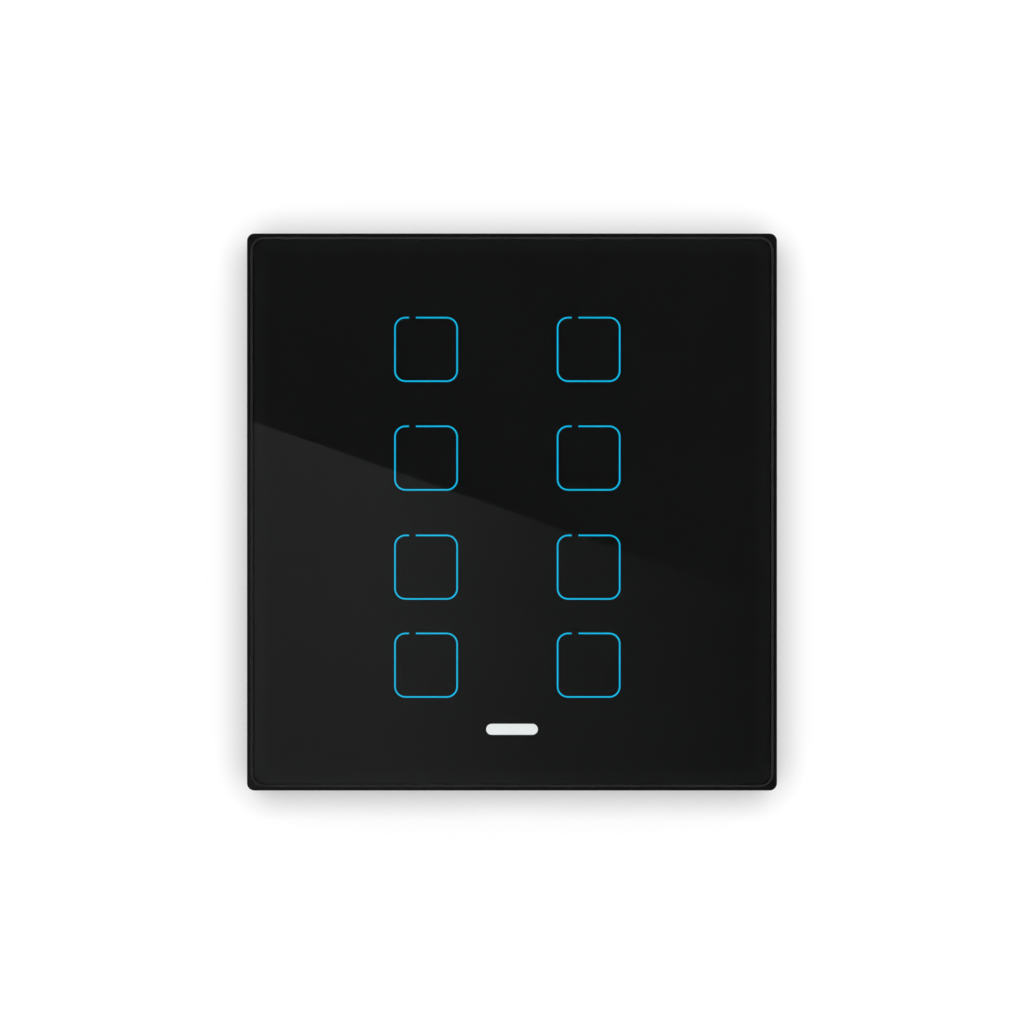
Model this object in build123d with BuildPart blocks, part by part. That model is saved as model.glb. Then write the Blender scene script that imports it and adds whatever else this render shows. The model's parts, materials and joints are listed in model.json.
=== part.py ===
from build123d import *
import os

# An eight-key touch switch panel for a wall box with lugs at 60.3 mm centres.
# X runs to the right, Z up and Y into the wall. The origin is the centre of the wall plane.
# Levels are heights above the wall plane: positive into the room, negative into the wall box.

# Front panel
panel_width = 86.0
panel_height = 90.4
frame_corner_radius = 1.2
frame_wall = 1.8
frame_wall_gap = 0.3
frame_plate = 1.4
lip_height = 1.85
lip_bevel = 0.3
glass_inset = 0.66
glass_thickness = 3.0
glass_corner_radius = 2.2
glass_bevel = 0.4
glass_arris = 0.2
glass_clearance = 0.1
adhesive_gap = 0.05
mask_thickness = 0.2
mask_inset = 0.4

# Touch keys: two columns of four, each an outline with one stencil bridge in its top line
key_width = 10.09
key_height = 10.32
key_corner_radius = 1.7
slit_width = 0.25
bridge_width = 1.13
bridge_offset = 2.835
left_column_x = -13.96
right_column_x = 12.45
first_row_z = 26.41
second_row_z = 8.76
third_row_z = -8.96
fourth_row_z = -24.88
status_z = -35.3
status_length = 8.4
status_width = 1.8

# Light guides behind the outlines, and the touch electronics
guide_cover = 0.45
guide_ring = 0.65
guide_ledge = 0.9
guide_flange = 1.2
guide_clearance = 0.1
led_gap = 0.1
led_length = 1.6
led_width = 0.8
led_height = 0.5
pad_size = 7.0
touch_board_width = 50.0
touch_board_thickness = 1.2
touch_board_margin = 1.6
component_space = 3.35
radio_length = 18.0
radio_width = 13.0
radio_board = 0.8
radio_can_length = 12.4
radio_can_width = 11.2
radio_can_height = 1.7
radio_can_margin = 0.6
radio_z = 14.0
chip_size = 7.0
chip_height = 0.9
chip_bevel = 0.15
chip_x = -12.0
chip_z = -15.0

# Clips that hold the touch board by its long edges
clip_spacing = 60.0
clip_length = 6.0
clip_wall = 1.2
clip_seat = 0.8
clip_hook = 0.5
clip_lead = 0.9
clip_play = 0.1

# Snap rim between the base and the frame, and the notch for prising the frame off
rim_wall = 1.4
rim_height = 3.2
rim_clearance = 0.4
rim_corner_radius = 1.0
bead_engagement = 0.5
bead_height = 1.6
bead_length = 10.0
bead_spacing = 46.0
bead_clearance = 0.2
pry_width = 9.0
pry_depth = 1.2

# Base in the wall box
flange_thickness = 1.8
fixing_spacing = 60.3
fixing_slot_width = 4.0
fixing_slot_length = 7.0
flange_rib_width = 1.2
flange_rib_height = 1.2
flange_rib_x = 15.0
flange_rib_z = 20.0
box_wall = 2.0
box_corner_radius = 3.0
box_back_bevel = 1.0
board_rib_depth = 1.2
board_rib_length = 3.0
board_rib_z = 15.4
board_clearance = 0.3
board_space = 1.8
power_board_thickness = 1.6
vent_count = 5
vent_pitch = 4.6
vent_width = 1.4
vent_length = 9.0
vent_start = 1.6

# Cover of the base, clipped into the box by four beads
cover_thickness = 1.2
cover_ledge = 0.8
cover_clearance = 0.2
cover_bead_grip = 0.3
cover_bead_height = 0.5
cover_bead_length = 6.0
cover_bead_spacing = 24.0
cover_bead_play = 0.1
cover_post_size = 2.6
cover_post_x = 17.0
cover_post_z = 14.0

# Rising-clamp terminals: three poles in each of two blocks
pole_count = 3
pole_pitch = 7.6
block_end_wall = 0.4
block_clearance = 0.2
block_wall_gap = 0.3
chamber_width = 6.2
chamber_depth = 6.3
entry_wall = 1.2
inner_wall = 2.7
entry_size = 3.6
entry_clearance = 0.2
clamp_width = 5.6
clamp_depth = 6.0
clamp_side_wall = 0.8
clamp_floor_gap = 0.6
clamp_floor = 1.0
wire_space = 3.2
closing_gap = 0.2
bar_thickness = 0.8
bar_width = 3.6
bar_clearance = 0.15
clamp_spare = 0.8
clamp_roof = 2.0
terminal_shaft_radius = 1.5
thread_clearance = 0.05
terminal_head_radius = 2.4
terminal_head_height = 2.0
terminal_head_gap = 0.3
terminal_slot_width = 0.8
terminal_slot_depth = 1.0
tip_gap = 0.05
ceiling_gap = 0.1
block_ceiling = 2.0
block_back_gap = 0.1
port_size = 3.9
driver_hole_radius = 2.4

# Power electronics on the inner board
relay_length = 20.5
relay_width = 7.2
relay_height = 15.3
relay_gap = 0.6
relay_bevel = 0.5
relay_back_gap = 0.6
relay_rows = 2
part_gap = 0.4
supply_strip = 7.5
supply_gap = 0.9
transformer_length = 13.0
transformer_width = 7.2
transformer_height = 12.0
transformer_core_band = 4.4
transformer_step = 0.7
rectifier_length = 4.8
rectifier_width = 6.6
rectifier_height = 2.6
rectifier_bevel = 0.3
capacitor_radius = 3.15
capacitor_height = 11.0
varistor_radius = 3.5
varistor_thickness = 3.2
fuse_length = 4.2
fuse_width = 7.2
fuse_height = 7.7
fuse_bevel = 0.3

# Plug connection between the two boards
pin_count = 6
pin_pitch = 2.54
pin_size = 0.64
pin_clearance = 0.08
pin_tip_gap = 0.2
header_width = 2.5
header_height = 2.5
mating_gap = 0.85
socket_floor = 0.25
socket_slot_clearance = 1.0

# Levels of the panel, counted up from the wall plane
touch_board_back = component_space
touch_board_front = touch_board_back + touch_board_thickness
guide_back = touch_board_front + led_height + led_gap
plate_back = guide_back + guide_flange
plate_front = plate_back + frame_plate
mask_front = plate_front + mask_thickness
glass_back = mask_front + adhesive_gap
lip_top = plate_front + lip_height

# Levels of the base, counted down from the wall plane
cover_back = -cover_thickness
cover_bead_back = cover_back + (cover_thickness - cover_bead_height) / 2
power_board_front = cover_back - board_space
power_board_rear = power_board_front - power_board_thickness
clamp_front = power_board_rear - clamp_floor_gap
wire_top = clamp_front - clamp_floor
bar_front = wire_top - wire_space
bar_rear = bar_front - bar_thickness
clamp_roof_front = bar_rear - clamp_spare
clamp_rear = clamp_roof_front - clamp_roof
clamp_travel = wire_space - closing_gap
head_front = clamp_rear - clamp_travel - terminal_head_gap
head_rear = head_front - terminal_head_height
chamber_rear = head_rear - ceiling_gap
block_rear = chamber_rear - block_ceiling
relay_rear = power_board_rear - relay_height
box_floor = min(block_rear - block_back_gap, relay_rear - relay_back_gap)
box_back = box_floor - box_wall

# Outlines of the panel
glass_width = panel_width - 2 * glass_inset
glass_height = panel_height - 2 * glass_inset
mask_width = glass_width - 2 * mask_inset
mask_height = glass_height - 2 * mask_inset
cavity_width = panel_width - 2 * frame_wall
cavity_height = panel_height - 2 * frame_wall
guide_width = key_width + slit_width + 2 * guide_cover
guide_height = key_height + slit_width + 2 * guide_cover
guide_hole_width = key_width - 2 * guide_ring
guide_hole_height = key_height - 2 * guide_ring
status_guide_length = status_length + 2 * guide_cover
status_guide_width = status_width + 2 * guide_cover
rim_width = cavity_width - 2 * rim_clearance
rim_depth = cavity_height - 2 * rim_clearance
touch_board_height = rim_depth - 2 * rim_wall - 2 * touch_board_margin

# Outlines of the base: the box is as wide and high as what it holds
block_width = pole_count * pole_pitch + 2 * block_end_wall
block_depth = entry_wall + chamber_depth + inner_wall
relay_block_width = 2 * relay_length + relay_gap
relay_block_depth = relay_rows * relay_width + (relay_rows - 1) * relay_gap
box_inner_width = max(
    block_width + 2 * block_clearance,
    relay_block_width + 2 * (board_rib_depth + part_gap),
)
box_inner_height = (
    2 * (block_wall_gap + block_depth + part_gap) + relay_block_depth + part_gap + supply_strip
)
box_width = box_inner_width + 2 * box_wall
box_height = box_inner_height + 2 * box_wall
recess_width = box_inner_width + 2 * cover_ledge
recess_height = box_inner_height + 2 * cover_ledge
cover_width = recess_width - 2 * cover_clearance
cover_height = recess_height - 2 * cover_clearance
power_board_width = box_inner_width - 2 * board_clearance
power_board_height = box_inner_height - 2 * board_clearance

# Places of the keys, the poles and the parts on the inner board
key_centres = [
    (x, z)
    for z in (first_row_z, second_row_z, third_row_z, fourth_row_z)
    for x in (left_column_x, right_column_x)
]
pole_places = [(index - (pole_count - 1) / 2) * pole_pitch for index in range(pole_count)]
block_outer_z = box_inner_height / 2 - block_wall_gap
block_inner_z = block_outer_z - block_depth
chamber_z = block_outer_z - entry_wall - chamber_depth / 2
chamber_inner_z = chamber_z - chamber_depth / 2
leg_z = chamber_inner_z - bar_thickness / 2
entry_level = (wire_top + bar_front) / 2
relay_top_z = block_inner_z - part_gap
supply_z = relay_top_z - relay_block_depth - part_gap - supply_strip / 2
bead_level = flange_thickness + rim_height / 2
header_front = power_board_front + header_height
header_length = pin_count * pin_pitch
socket_back = header_front + mating_gap
pin_places = [((index - (pin_count - 1) / 2) * pin_pitch, 0) for index in range(pin_count)]

os.makedirs("parts", exist_ok=True)


def level(height):
    return Plane.XZ.offset(height)


# Outline of one touch key: a rounded square slit, broken by its stencil bridge
with BuildSketch() as key_outline:
    RectangleRounded(key_width + slit_width, key_height + slit_width, key_corner_radius + slit_width / 2)
    RectangleRounded(
        key_width - slit_width,
        key_height - slit_width,
        key_corner_radius - slit_width / 2,
        mode=Mode.SUBTRACT,
    )
    with Locations((bridge_offset - key_width / 2, key_height / 2)):
        Rectangle(bridge_width, 2 * slit_width, mode=Mode.SUBTRACT)

# Panel frame: a tray with a thin lip round the glass, open to the wall
with BuildPart() as panel_frame:
    with BuildSketch(level(frame_wall_gap)):
        RectangleRounded(panel_width, panel_height, frame_corner_radius)
    extrude(amount=lip_top - frame_wall_gap)
    chamfer(panel_frame.faces().sort_by(Axis.Y)[0].edges(), length=lip_bevel)
    with BuildSketch(level(plate_front)):
        RectangleRounded(
            glass_width + 2 * glass_clearance,
            glass_height + 2 * glass_clearance,
            glass_corner_radius + glass_clearance,
        )
    extrude(amount=lip_height, mode=Mode.SUBTRACT)
    with BuildSketch(level(frame_wall_gap)):
        Rectangle(cavity_width, cavity_height)
    extrude(amount=plate_back - frame_wall_gap, mode=Mode.SUBTRACT)
    # windows for the light guides
    with BuildSketch(level(plate_back)):
        with Locations(*key_centres):
            Rectangle(guide_width + 2 * guide_clearance, guide_height + 2 * guide_clearance)
        with Locations((0, status_z)):
            Rectangle(status_guide_length + 2 * guide_clearance, status_guide_width + 2 * guide_clearance)
    extrude(amount=frame_plate, mode=Mode.SUBTRACT)
    # clips for the touch board: a seat in front of it, a hook behind it and a lead-in towards the wall
    for side in (1, -1):
        edge_x = side * touch_board_width / 2
        inner_x = edge_x + side * clip_play
        outer_x = inner_x + side * clip_wall
        for clip_z in (-clip_spacing / 2, clip_spacing / 2):
            with BuildSketch(Plane.XY.offset(clip_z)):
                with BuildLine():
                    Polyline(
                        (edge_x - side * clip_seat, -plate_back - frame_plate / 2),
                        (edge_x - side * clip_seat, -touch_board_front),
                        (inner_x, -touch_board_front),
                        (inner_x, -touch_board_back),
                        (edge_x - side * clip_hook, -touch_board_back),
                        (inner_x, clip_lead - touch_board_back),
                        (outer_x, clip_lead - touch_board_back),
                        (outer_x, -plate_back - frame_plate / 2),
                        close=True,
                    )
                make_face()
            extrude(amount=clip_length / 2, both=True)
    # snap beads on the upper and lower walls, with a long lead-in towards the wall
    for bead_x in (-bead_spacing / 2, bead_spacing / 2):
        for side in (1, -1):
            wall_z = side * cavity_height / 2
            tip_z = wall_z - side * (rim_clearance + bead_engagement)
            root_z = wall_z + side * frame_wall / 2
            with BuildSketch(Plane.YZ.offset(bead_x)):
                with BuildLine():
                    Polyline(
                        (-bead_level + bead_height / 2, root_z),
                        (-bead_level + bead_height / 2, wall_z),
                        (-bead_level - bead_height / 4, tip_z),
                        (-bead_level - bead_height / 2, wall_z),
                        (-bead_level - bead_height / 2, root_z),
                        close=True,
                    )
                make_face()
            extrude(amount=bead_length / 2, both=True)
    # notch in the lower edge for a flat blade
    with BuildSketch(level(frame_wall_gap)):
        with Locations((0, frame_wall / 2 - panel_height / 2)):
            Rectangle(pry_width, frame_wall)
    extrude(amount=pry_depth, mode=Mode.SUBTRACT)
panel_frame.part.label = "panel_frame"
export_step(panel_frame.part, "parts/panel_frame.step")

# Glass panel: toughened plate with a ground bevel round its front
with BuildPart() as glass_panel:
    with BuildSketch(level(glass_back)):
        RectangleRounded(glass_width, glass_height, glass_corner_radius)
    extrude(amount=glass_thickness)
    chamfer(glass_panel.faces().sort_by(Axis.Y)[0].edges(), length=glass_bevel)
    chamfer(glass_panel.faces().sort_by(Axis.Y)[-1].edges(), length=glass_arris)
glass_panel.part.label = "glass_panel"
export_step(glass_panel.part, "parts/glass_panel.step")

# Light mask: black film behind the glass, die-cut with the key outlines and the status window
with BuildPart() as light_mask:
    with BuildSketch(level(plate_front)):
        RectangleRounded(mask_width, mask_height, glass_corner_radius - mask_inset)
    extrude(amount=mask_thickness)
    with BuildSketch(level(plate_front)):
        with Locations(*key_centres):
            add(key_outline.sketch)
        with Locations((0, status_z)):
            SlotOverall(status_length, status_width)
    extrude(amount=mask_thickness, mode=Mode.SUBTRACT)
light_mask.part.label = "light_mask"
export_step(light_mask.part, "parts/light_mask.step")

# Light guides: clear frames that fill the plate's windows and bear on it with a rear flange
for number, centre in enumerate(key_centres, start=1):
    with BuildPart() as light_guide:
        with BuildSketch(level(guide_back)):
            with Locations(centre):
                Rectangle(guide_width + 2 * guide_ledge, guide_height + 2 * guide_ledge)
        extrude(amount=guide_flange)
        with BuildSketch(level(plate_back)):
            with Locations(centre):
                Rectangle(guide_width, guide_height)
        extrude(amount=frame_plate)
        with BuildSketch(level(guide_back)):
            with Locations(centre):
                Rectangle(guide_hole_width, guide_hole_height)
        extrude(amount=guide_flange + frame_plate, mode=Mode.SUBTRACT)
    light_guide.part.label = f"light_guide_{number}"
    export_step(light_guide.part, f"parts/light_guide_{number}.step")

# Status light guide: the same behind the pill-shaped window, with no opening
with BuildPart() as status_light_guide:
    with BuildSketch(level(guide_back)):
        with Locations((0, status_z)):
            Rectangle(status_guide_length + 2 * guide_ledge, status_guide_width + 2 * guide_ledge)
    extrude(amount=guide_flange)
    with BuildSketch(level(plate_back)):
        with Locations((0, status_z)):
            Rectangle(status_guide_length, status_guide_width)
    extrude(amount=frame_plate)
status_light_guide.part.label = "status_light_guide"
export_step(status_light_guide.part, "parts/status_light_guide.step")

# Sensor pads: conductive foam blocks between the touch board and the mask
with BuildPart() as sensor_pads:
    with BuildSketch(level(touch_board_front)):
        with Locations(*key_centres):
            Rectangle(pad_size, pad_size)
    extrude(amount=plate_front - touch_board_front)
sensor_pads.part.label = "sensor_pads"
export_step(sensor_pads.part, "parts/sensor_pads.step")

# Touch board: held in the frame by its four clips
with BuildPart() as touch_board:
    with BuildSketch(level(touch_board_back)):
        Rectangle(touch_board_width, touch_board_height)
    extrude(amount=touch_board_thickness)
touch_board.part.label = "touch_board"
export_step(touch_board.part, "parts/touch_board.step")

# Key lamps: one on each side of every key, and one under the status window
with BuildPart() as key_leds:
    with BuildSketch(level(touch_board_front)):
        for key_x, key_z in key_centres:
            with Locations((key_x - key_width / 2, key_z), (key_x + key_width / 2, key_z)):
                Rectangle(led_width, led_length)
        with Locations((0, status_z)):
            Rectangle(led_length, led_width)
    extrude(amount=led_height)
key_leds.part.label = "key_leds"
export_step(key_leds.part, "parts/key_leds.step")

# Radio module: small board with a shielding can, on the back of the touch board
with BuildPart() as radio_module:
    with BuildSketch(level(touch_board_back)):
        with Locations((0, radio_z)):
            Rectangle(radio_length, radio_width)
    extrude(amount=-radio_board)
    with BuildSketch(level(touch_board_back - radio_board)):
        with Locations(((radio_length - radio_can_length) / 2 - radio_can_margin, radio_z)):
            Rectangle(radio_can_length, radio_can_width)
    extrude(amount=-radio_can_height)
radio_module.part.label = "radio_module"
export_step(radio_module.part, "parts/radio_module.step")

# Controller chip beside the radio module
with BuildPart() as controller_chip:
    with BuildSketch(level(touch_board_back)):
        with Locations((chip_x, chip_z)):
            Rectangle(chip_size, chip_size)
    extrude(amount=-chip_height)
    chamfer(controller_chip.faces().sort_by(Axis.Y)[-1].edges(), length=chip_bevel)
controller_chip.part.label = "controller_chip"
export_step(controller_chip.part, "parts/controller_chip.step")

# Touch socket: female half of the plug between the boards
with BuildPart() as touch_socket:
    with BuildSketch(level(touch_board_back)):
        Rectangle(header_length, header_width)
    extrude(amount=socket_back - touch_board_back)
    with BuildSketch(level(socket_back)):
        with Locations(*pin_places):
            Rectangle(pin_size + 2 * pin_clearance, pin_size + 2 * pin_clearance)
    extrude(amount=touch_board_back - socket_back - socket_floor, mode=Mode.SUBTRACT)
touch_socket.part.label = "touch_socket"
export_step(touch_socket.part, "parts/touch_socket.step")

# Rear housing: flange on the wall, snap rim in front of it and the box behind it, moulded as one
with BuildPart() as rear_housing:
    with BuildSketch(level(box_back)):
        RectangleRounded(box_width, box_height, box_corner_radius)
    extrude(amount=-box_back)
    chamfer(rear_housing.faces().sort_by(Axis.Y)[-1].edges(), length=box_back_bevel)
    with BuildSketch(level(0)):
        RectangleRounded(rim_width, rim_depth, rim_corner_radius)
    extrude(amount=flange_thickness)
    with BuildSketch(level(flange_thickness)):
        RectangleRounded(rim_width, rim_depth, rim_corner_radius)
        Rectangle(rim_width - 2 * rim_wall, rim_depth - 2 * rim_wall, mode=Mode.SUBTRACT)
    extrude(amount=rim_height)
    # ribs that stiffen the flange between the box and the rim
    with BuildSketch(level(flange_thickness)):
        with GridLocations(0, 2 * flange_rib_z, 1, 2):
            Rectangle(rim_width - 2 * rim_wall, flange_rib_width)
        with GridLocations(2 * flange_rib_x, 0, 2, 1):
            Rectangle(flange_rib_width, rim_depth - 2 * rim_wall)
    extrude(amount=flange_rib_height)
    # inside of the box, with a recess for its cover and pockets for the cover's beads
    with BuildSketch(level(box_floor)):
        Rectangle(box_inner_width, box_inner_height)
    extrude(amount=flange_thickness + flange_rib_height - box_floor, mode=Mode.SUBTRACT)
    with BuildSketch(level(cover_back)):
        Rectangle(recess_width, recess_height)
    extrude(amount=flange_thickness + flange_rib_height - cover_back, mode=Mode.SUBTRACT)
    with BuildSketch(level(cover_bead_back - cover_bead_play)):
        with GridLocations(recess_width, cover_bead_spacing, 2, 2):
            Rectangle(2 * (cover_bead_grip + cover_bead_play), cover_bead_length + 2 * cover_bead_play)
    extrude(amount=cover_bead_height + 2 * cover_bead_play, mode=Mode.SUBTRACT)
    # ribs under the inner board
    with BuildSketch(level(box_floor)):
        with GridLocations(box_inner_width - board_rib_depth, 2 * board_rib_z, 2, 2):
            Rectangle(board_rib_depth, board_rib_length)
    extrude(amount=power_board_rear - box_floor)
    # slotted holes over the wall box lugs
    with BuildSketch(level(0)):
        with GridLocations(fixing_spacing, 0, 2, 1):
            SlotOverall(fixing_slot_length, fixing_slot_width)
    extrude(amount=flange_thickness, mode=Mode.SUBTRACT)
    # catch windows in the rim, wire entries in the ends of the box and driver holes in its back
    for side in (1, -1):
        with BuildSketch(Plane.XY.offset(side * rim_depth / 2)):
            with Locations((-bead_spacing / 2, -bead_level), (bead_spacing / 2, -bead_level)):
                Rectangle(bead_length + 2 * bead_clearance, bead_height + 2 * bead_clearance)
        extrude(amount=-side * rim_wall, mode=Mode.SUBTRACT)
        with BuildSketch(Plane.XY.offset(side * box_height / 2)):
            with Locations(*[(pole_x, -entry_level) for pole_x in pole_places]):
                Rectangle(entry_size, entry_size)
        extrude(amount=-side * box_wall, mode=Mode.SUBTRACT)
        with BuildSketch(level(box_back)):
            with Locations(*[(pole_x, side * chamber_z) for pole_x in pole_places]):
                Circle(driver_hole_radius)
        extrude(amount=box_wall, mode=Mode.SUBTRACT)
        # cooling slots beside the relays
        with BuildSketch(Plane.YZ.offset(side * box_width / 2)):
            with Locations((vent_start + vent_length / 2 - power_board_rear, 0)):
                with GridLocations(0, vent_pitch, 1, vent_count):
                    Rectangle(vent_length, vent_width)
        extrude(amount=-side * box_wall, mode=Mode.SUBTRACT)
rear_housing.part.label = "rear_housing"
export_step(rear_housing.part, "parts/rear_housing.step")

# Base cover: closes the box, and its posts hold the inner board down on the ribs
with BuildPart() as base_cover:
    with BuildSketch(level(cover_back)):
        Rectangle(cover_width, cover_height)
        Rectangle(
            header_length + 2 * socket_slot_clearance,
            header_width + 2 * socket_slot_clearance,
            mode=Mode.SUBTRACT,
        )
    extrude(amount=cover_thickness)
    with BuildSketch(level(cover_bead_back)):
        with GridLocations(cover_width, cover_bead_spacing, 2, 2):
            Rectangle(2 * (cover_clearance + cover_bead_grip), cover_bead_length)
    extrude(amount=cover_bead_height)
    with BuildSketch(level(power_board_front)):
        with GridLocations(2 * cover_post_x, 2 * cover_post_z, 2, 2):
            Rectangle(cover_post_size, cover_post_size)
    extrude(amount=board_space)
base_cover.part.label = "base_cover"
export_step(base_cover.part, "parts/base_cover.step")

# Power board: fills the box and rests on its ribs
with BuildPart() as power_board:
    with BuildSketch(level(power_board_rear)):
        Rectangle(power_board_width, power_board_height)
    extrude(amount=power_board_thickness)
power_board.part.label = "power_board"
export_step(power_board.part, "parts/power_board.step")

# Pin header: male half of the plug, through the slot in the cover
with BuildPart() as pin_header:
    with BuildSketch(level(power_board_front)):
        Rectangle(header_length, header_width)
    extrude(amount=header_height)
    with BuildSketch(level(header_front)):
        with Locations(*pin_places):
            Rectangle(pin_size, pin_size)
    extrude(amount=touch_board_back - socket_floor - pin_tip_gap - header_front)
pin_header.part.label = "pin_header"
export_step(pin_header.part, "parts/pin_header.step")

# Relays: one for each switched output, in two columns
for number in range(2 * relay_rows):
    relay_row, relay_column = divmod(number, 2)
    relay_x = (relay_column - 0.5) * (relay_length + relay_gap)
    relay_z = relay_top_z - relay_width / 2 - relay_row * (relay_width + relay_gap)
    with BuildPart() as relay:
        with BuildSketch(level(power_board_rear)):
            with Locations((relay_x, relay_z)):
                Rectangle(relay_length, relay_width)
        extrude(amount=-relay_height)
        chamfer(relay.faces().sort_by(Axis.Y)[-1].edges(), length=relay_bevel)
    relay.part.label = f"relay_{number + 1}"
    export_step(relay.part, f"parts/relay_{number + 1}.step")

# Supply parts in one strip, set out from left to right about the middle of the board
supply_lengths = [
    transformer_length,
    rectifier_length,
    2 * capacitor_radius,
    2 * varistor_radius,
    fuse_length,
]
supply_start = -(sum(supply_lengths) + supply_gap * (len(supply_lengths) - 1)) / 2
supply_places = [
    supply_start + sum(supply_lengths[:index]) + supply_gap * index + length / 2
    for index, length in enumerate(supply_lengths)
]
transformer_x, rectifier_x, capacitor_x, varistor_x, fuse_x = supply_places

# Supply transformer: wound bobbin inside a ferrite core that stands proud at both ends
with BuildPart() as supply_transformer:
    with BuildSketch(level(power_board_rear)):
        with Locations((transformer_x, supply_z)):
            Rectangle(transformer_length - 2 * transformer_step, transformer_width)
    extrude(amount=transformer_step - transformer_height)
    with BuildSketch(level(power_board_rear - transformer_step)):
        with Locations((transformer_x, supply_z)):
            Rectangle(transformer_length, transformer_core_band)
    extrude(amount=transformer_step - transformer_height)
supply_transformer.part.label = "supply_transformer"
export_step(supply_transformer.part, "parts/supply_transformer.step")

# Bridge rectifier
with BuildPart() as bridge_rectifier:
    with BuildSketch(level(power_board_rear)):
        with Locations((rectifier_x, supply_z)):
            Rectangle(rectifier_length, rectifier_width)
    extrude(amount=-rectifier_height)
    chamfer(bridge_rectifier.faces().sort_by(Axis.Y)[-1].edges(), length=rectifier_bevel)
bridge_rectifier.part.label = "bridge_rectifier"
export_step(bridge_rectifier.part, "parts/bridge_rectifier.step")

# Smoothing capacitor
with BuildPart() as smoothing_capacitor:
    with BuildSketch(level(power_board_rear)):
        with Locations((capacitor_x, supply_z)):
            Circle(capacitor_radius)
    extrude(amount=-capacitor_height)
smoothing_capacitor.part.label = "smoothing_capacitor"
export_step(smoothing_capacitor.part, "parts/smoothing_capacitor.step")

# Varistor: a coated disc standing on the board
with BuildPart() as varistor:
    with BuildSketch(Plane.XY.offset(supply_z - varistor_thickness / 2)):
        with Locations((varistor_x, varistor_radius - power_board_rear)):
            Circle(varistor_radius)
    extrude(amount=varistor_thickness)
varistor.part.label = "varistor"
export_step(varistor.part, "parts/varistor.step")

# Fuse
with BuildPart() as fuse:
    with BuildSketch(level(power_board_rear)):
        with Locations((fuse_x, supply_z)):
            Rectangle(fuse_length, fuse_width)
    extrude(amount=-fuse_height)
    chamfer(fuse.faces().sort_by(Axis.Y)[-1].edges(), length=fuse_bevel)
fuse.part.label = "fuse"
export_step(fuse.part, "parts/fuse.step")

# Terminal blocks: a chamber for each pole, its wire entry in the end of the box
for side, block_name in ((1, "upper_terminal_block"), (-1, "lower_terminal_block")):
    chamber_places = [(pole_x, side * chamber_z) for pole_x in pole_places]
    with BuildPart() as terminal_block:
        with BuildSketch(level(power_board_rear)):
            with Locations((0, side * (block_inner_z + block_depth / 2))):
                Rectangle(block_width, block_depth)
        extrude(amount=block_rear - power_board_rear)
        with BuildSketch(level(power_board_rear)):
            with Locations(*chamber_places):
                Rectangle(chamber_width, chamber_depth)
        extrude(amount=chamber_rear - power_board_rear, mode=Mode.SUBTRACT)
        # grooves for the legs of the contact bars
        with BuildSketch(level(power_board_rear)):
            with Locations(*[(pole_x, side * leg_z) for pole_x in pole_places]):
                Rectangle(bar_width + 2 * bar_clearance, bar_thickness + 2 * bar_clearance)
        extrude(amount=bar_rear - bar_clearance - power_board_rear, mode=Mode.SUBTRACT)
        # ports for the driver, narrower than the screw heads
        with BuildSketch(level(block_rear)):
            with Locations(*chamber_places):
                Rectangle(port_size, port_size)
        extrude(amount=block_ceiling, mode=Mode.SUBTRACT)
        with BuildSketch(Plane.XY.offset(side * block_outer_z)):
            with Locations(*[(pole_x, -entry_level) for pole_x in pole_places]):
                Rectangle(entry_size + 2 * entry_clearance, entry_size + 2 * entry_clearance)
        extrude(amount=-side * entry_wall, mode=Mode.SUBTRACT)
    terminal_block.part.label = block_name
    export_step(terminal_block.part, f"parts/{block_name}.step")

# Contact bars: bent strips, each standing on the board and reaching through its clamp
with BuildPart() as contact_bars:
    for side in (1, -1):
        leg_outer_z = side * (leg_z - bar_thickness / 2)
        reach_z = side * (chamber_z + clamp_depth / 2)
        leg_face_z = side * (leg_z + bar_thickness / 2)
        for pole_x in pole_places:
            with BuildSketch(Plane.YZ.offset(pole_x)):
                with BuildLine():
                    Polyline(
                        (-power_board_rear, leg_outer_z),
                        (-bar_rear, leg_outer_z),
                        (-bar_rear, reach_z),
                        (-bar_front, reach_z),
                        (-bar_front, leg_face_z),
                        (-power_board_rear, leg_face_z),
                        close=True,
                    )
                make_face()
            extrude(amount=bar_width / 2, both=True)
contact_bars.part.label = "contact_bars"
export_step(contact_bars.part, "parts/contact_bars.step")

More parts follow.
